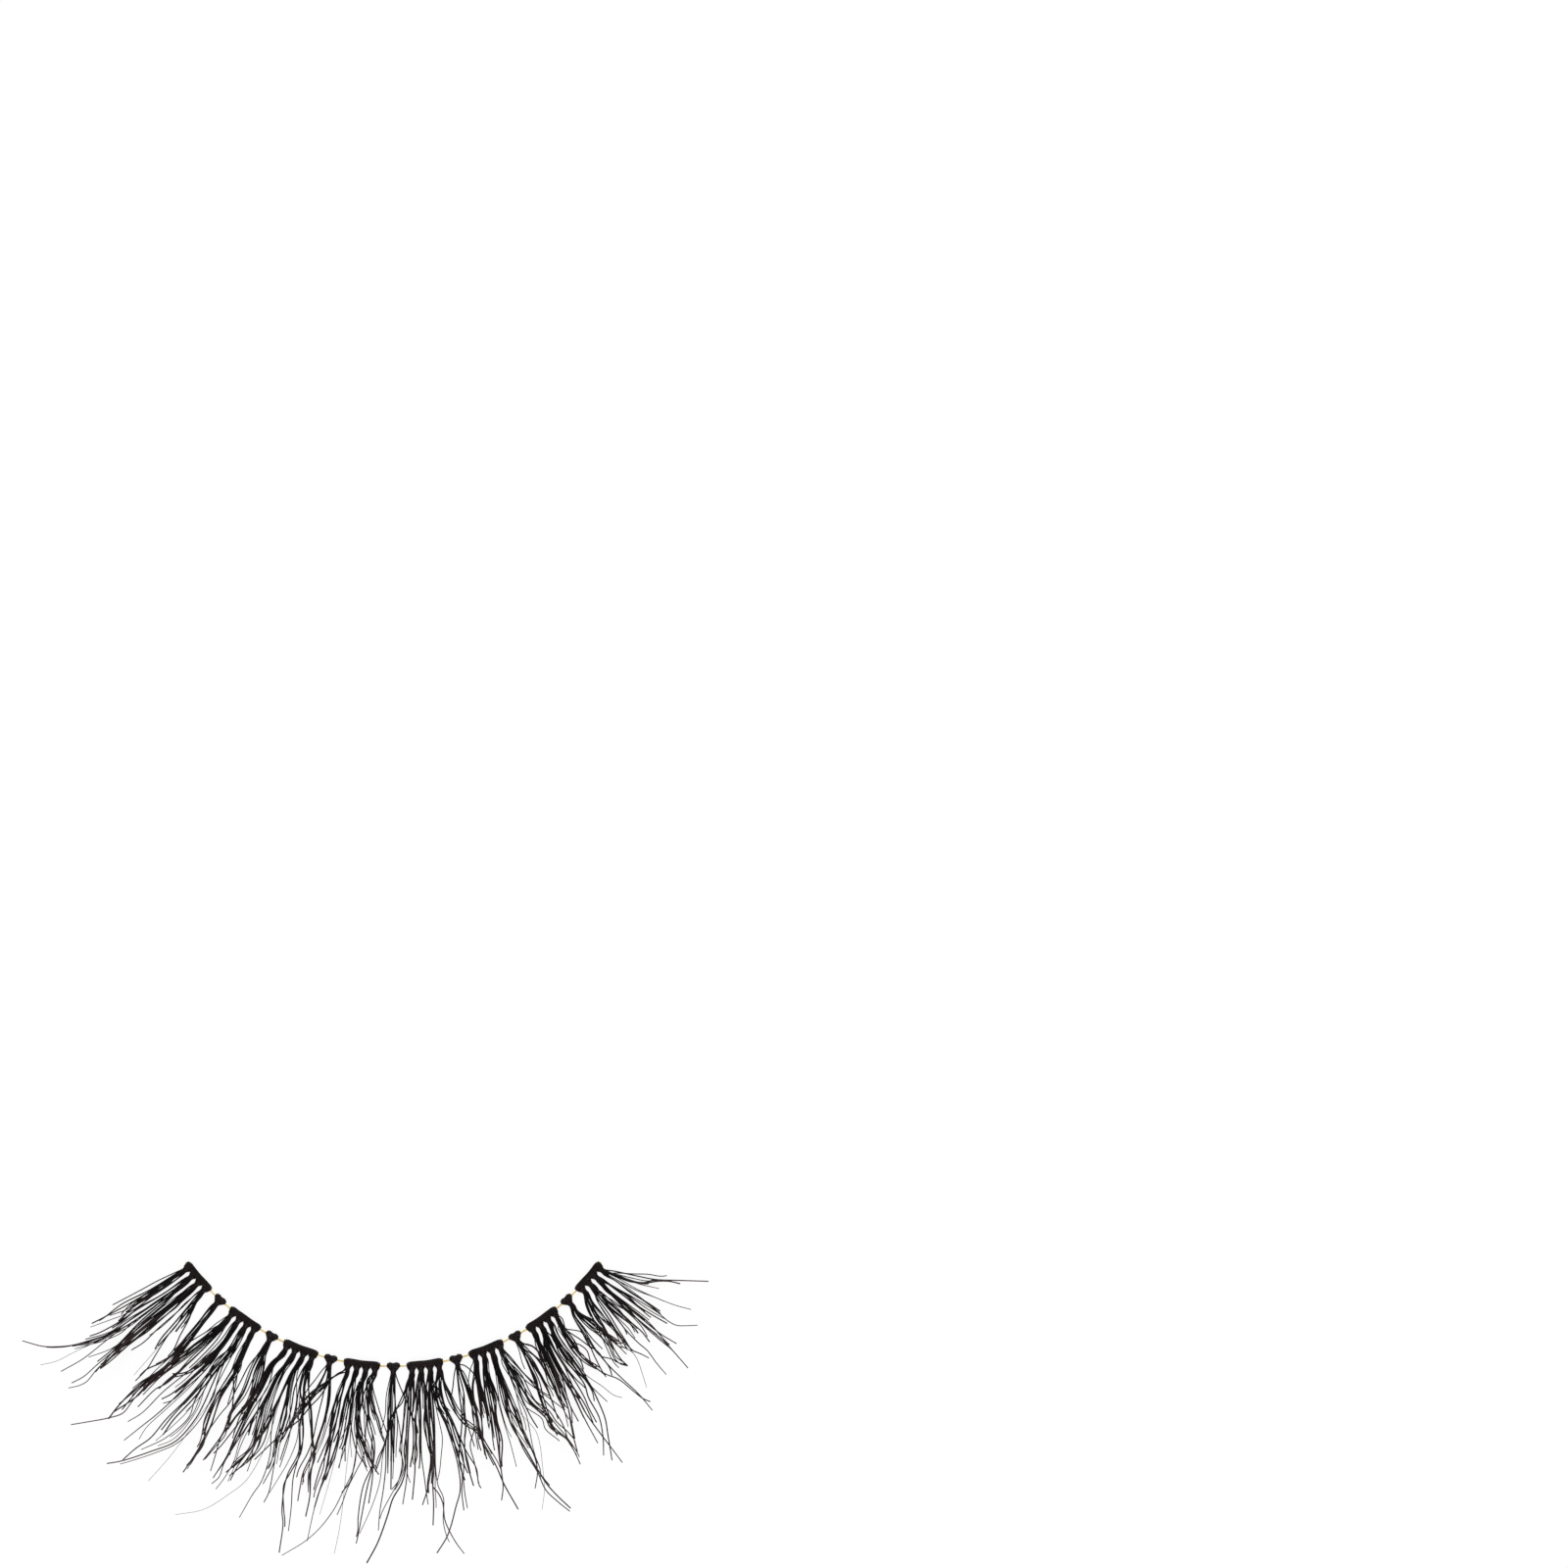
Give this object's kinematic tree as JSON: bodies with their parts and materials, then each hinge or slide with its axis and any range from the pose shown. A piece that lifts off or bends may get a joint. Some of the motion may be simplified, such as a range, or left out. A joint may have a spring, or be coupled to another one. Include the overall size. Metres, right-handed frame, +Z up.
{
  "type": "false eyelash strip",
  "caption": "Curved strip of hand-tied lashes: wide and single knots of black-brown hair on a thin thread, curling up.",
  "frame": {"origin": "on the surface that the strip lies on, under the knot in the middle of the band", "axes": "+X along the band to the inner end of the eye, -Y the way the hair points, +Z up, the way it curls"},
  "size_m": [0.0476, 0.0206, 0.0048],
  "materials": {
    "hair": "black-brown hair, satin, browner towards the thin tips",
    "thread": "straw-yellow twisted thread, matt"
  },
  "bodies": {
    "root": {"band_thread": "thread", "bar_tuft_1": "hair", "bar_tuft_2": "hair", "bar_tuft_3": "hair", "bar_tuft_4": "hair", "bar_tuft_5": "hair", "bar_tuft_6": "hair", "bar_tuft_7": "hair", "bar_tuft_8": "hair", "single_tuft_1": "hair", "single_tuft_2": "hair", "single_tuft_3": "hair", "single_tuft_4": "hair", "single_tuft_5": "hair", "single_tuft_6": "hair", "single_tuft_7": "hair"}
  },
  "joints": []
}
